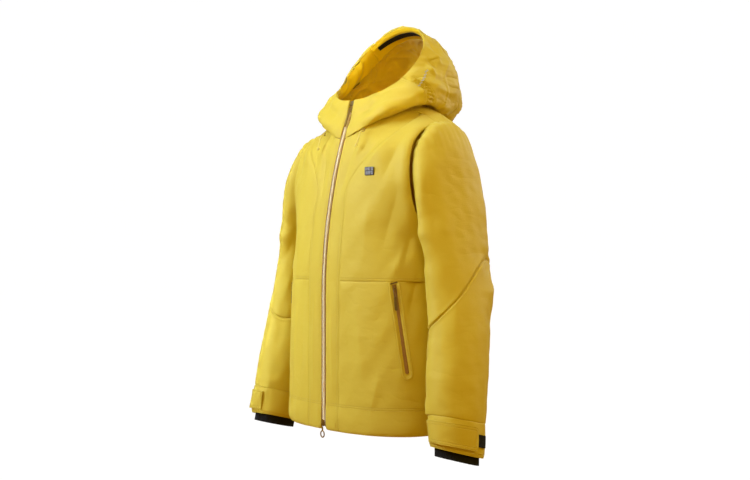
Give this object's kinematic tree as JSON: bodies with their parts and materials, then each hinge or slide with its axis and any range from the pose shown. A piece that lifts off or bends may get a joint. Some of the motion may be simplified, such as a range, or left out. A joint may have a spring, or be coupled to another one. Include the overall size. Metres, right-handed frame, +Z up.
{
  "type": "hardshell jacket",
  "caption": "Hooded waterproof ski jacket with a full front zip, hand pockets, hood drawcords and cuff tabs, filled out as worn.",
  "frame": {"origin": "middle of the neck seam, level with the wearer's shoulders", "axes": "+Z up, -Y the jacket's front, +X the wearer's left"},
  "size_m": [0.722, 0.382, 0.9661],
  "materials": {
    "shell_fabric": "mustard yellow matt woven shell fabric",
    "gold_lining": "gold taffeta",
    "black_knit": "black stretch knit",
    "zip_metal": "satin pale gold",
    "zip_tape": "brown woven zip tape",
    "cord": "yellow braided elastic cord",
    "badge_metal": "satin grey badge",
    "black_plastic": "matt black moulding"
  },
  "bodies": {
    "root": {"back_body": "shell_fabric", "back_lining": "gold_lining", "back_yoke": "shell_fabric", "brim_mesh_strip": "black_knit", "chest_badge": "badge_metal", "chest_left": "shell_fabric", "chest_right": "shell_fabric", "cuff_band_left": "shell_fabric", "cuff_band_right": "shell_fabric", "cuff_gaiter_left": "black_knit", "cuff_gaiter_right": "black_knit", "cuff_loop_strip_left": "black_knit", "cuff_loop_strip_right": "black_knit", "front_centre_left": "shell_fabric", "front_centre_right": "shell_fabric", "front_lining_left": "gold_lining", "front_lining_right": "gold_lining", "hanger_loop": "gold_lining", "hem_cord_lock_left": "black_plastic", "hem_cord_lock_right": "black_plastic", "hem_facing": "shell_fabric", "hood_cheek_left": "shell_fabric", "hood_cheek_right": "shell_fabric", "hood_crown": "shell_fabric", "hood_drawcord_left": "cord", "hood_drawcord_right": "cord", "hood_eyelet_left": "zip_metal", "hood_eyelet_right": "zip_metal", "hood_facing": "gold_lining", "hood_lining": "gold_lining", "hood_side_left": "shell_fabric", "hood_side_right": "shell_fabric", "lower_front_left": "shell_fabric", "lower_front_right": "shell_fabric", "main_zip_tape_left": "zip_tape", "main_zip_tape_right": "zip_tape", "main_zip_teeth_left": "zip_metal", "main_zip_teeth_right": "zip_metal", "pocket_bag_left": "gold_lining", "pocket_bag_right": "gold_lining", "pocket_zip_left": "zip_tape", "pocket_zip_right": "zip_tape", "sleeve_lower_left": "shell_fabric", "sleeve_lower_right": "shell_fabric", "sleeve_upper_left": "shell_fabric", "sleeve_upper_right": "shell_fabric", "zip_garage": "gold_lining"},
    "cuff_tab_left": {"cuff_tab_left": "shell_fabric"},
    "cuff_tab_right": {"cuff_tab_right": "shell_fabric"},
    "hem_lock_button_left": {"hem_lock_button_left": "black_plastic"},
    "hem_lock_button_right": {"hem_lock_button_right": "black_plastic"},
    "main_zip_pull_bottom": {"main_zip_pull_bottom": "zip_metal"},
    "main_zip_pull_top": {"main_zip_pull_top": "zip_metal"},
    "main_zip_slider_bottom": {"main_zip_slider_bottom": "zip_metal"},
    "main_zip_slider_top": {"main_zip_slider_top": "zip_metal"},
    "pocket_pull_left": {"pocket_pull_left": "zip_tape"},
    "pocket_pull_right": {"pocket_pull_right": "zip_tape"},
    "pocket_slider_left": {"pocket_slider_left": "zip_metal"},
    "pocket_slider_right": {"pocket_slider_right": "zip_metal"}
  },
  "joints": [
    {"name": "main_zip_open", "type": "hinge", "parent": "root", "child": "main_zip_slider_top", "pos_m": [0, 0.99, -0.4], "axis": [1, 0, 0], "range_deg": [0, 21]},
    {"name": "top_pull_swing", "type": "hinge", "parent": "main_zip_slider_top", "child": "main_zip_pull_top", "pos_m": [0, -0.08073, 0.02122], "axis": [-1, 0, 0], "range_deg": [0, 150]},
    {"name": "main_zip_open_bottom", "type": "slide", "parent": "root", "child": "main_zip_slider_bottom", "axis": [0, 0, 1], "range_m": [0, 0.21]},
    {"name": "bottom_pull_swing", "type": "hinge", "parent": "main_zip_slider_bottom", "child": "main_zip_pull_bottom", "pos_m": [0, -0.1606, -0.676], "axis": [-1, 0, 0], "range_deg": [0, 150]},
    {"name": "pocket_zip_open_left", "type": "slide", "parent": "root", "child": "pocket_slider_left", "axis": [0.1331, 0.0777, -0.9881], "range_m": [0, 0.165]},
    {"name": "pocket_pull_swing_left", "type": "hinge", "parent": "pocket_slider_left", "child": "pocket_pull_left", "pos_m": [0.17619, -0.10797, -0.37537], "axis": [-0.6498, -0.7459, -0.1462], "range_deg": [0, 150]},
    {"name": "cuff_tab_open_left", "type": "hinge", "parent": "root", "child": "cuff_tab_left", "pos_m": [0.28277, -0.11492, -0.63979], "axis": [0.1435, -0.0602, -0.9878], "range_deg": [0, 100]},
    {"name": "hem_lock_press_left", "type": "slide", "parent": "root", "child": "hem_lock_button_left", "axis": [0, 0, 1], "range_m": [0, 0.003], "stiffness_N_per_m": 400},
    {"name": "pocket_zip_open_right", "type": "slide", "parent": "root", "child": "pocket_slider_right", "axis": [-0.1331, 0.0777, -0.9881], "range_m": [0, 0.165]},
    {"name": "pocket_pull_swing_right", "type": "hinge", "parent": "pocket_slider_right", "child": "pocket_pull_right", "pos_m": [-0.17619, -0.10797, -0.37537], "axis": [-0.6498, 0.7459, 0.1462], "range_deg": [0, 150]},
    {"name": "cuff_tab_open_right", "type": "hinge", "parent": "root", "child": "cuff_tab_right", "pos_m": [-0.28277, -0.11492, -0.63979], "axis": [0.1435, 0.0602, 0.9878], "range_deg": [0, 100]},
    {"name": "hem_lock_press_right", "type": "slide", "parent": "root", "child": "hem_lock_button_right", "axis": [0, 0, 1], "range_m": [0, 0.003], "stiffness_N_per_m": 400}
  ]
}
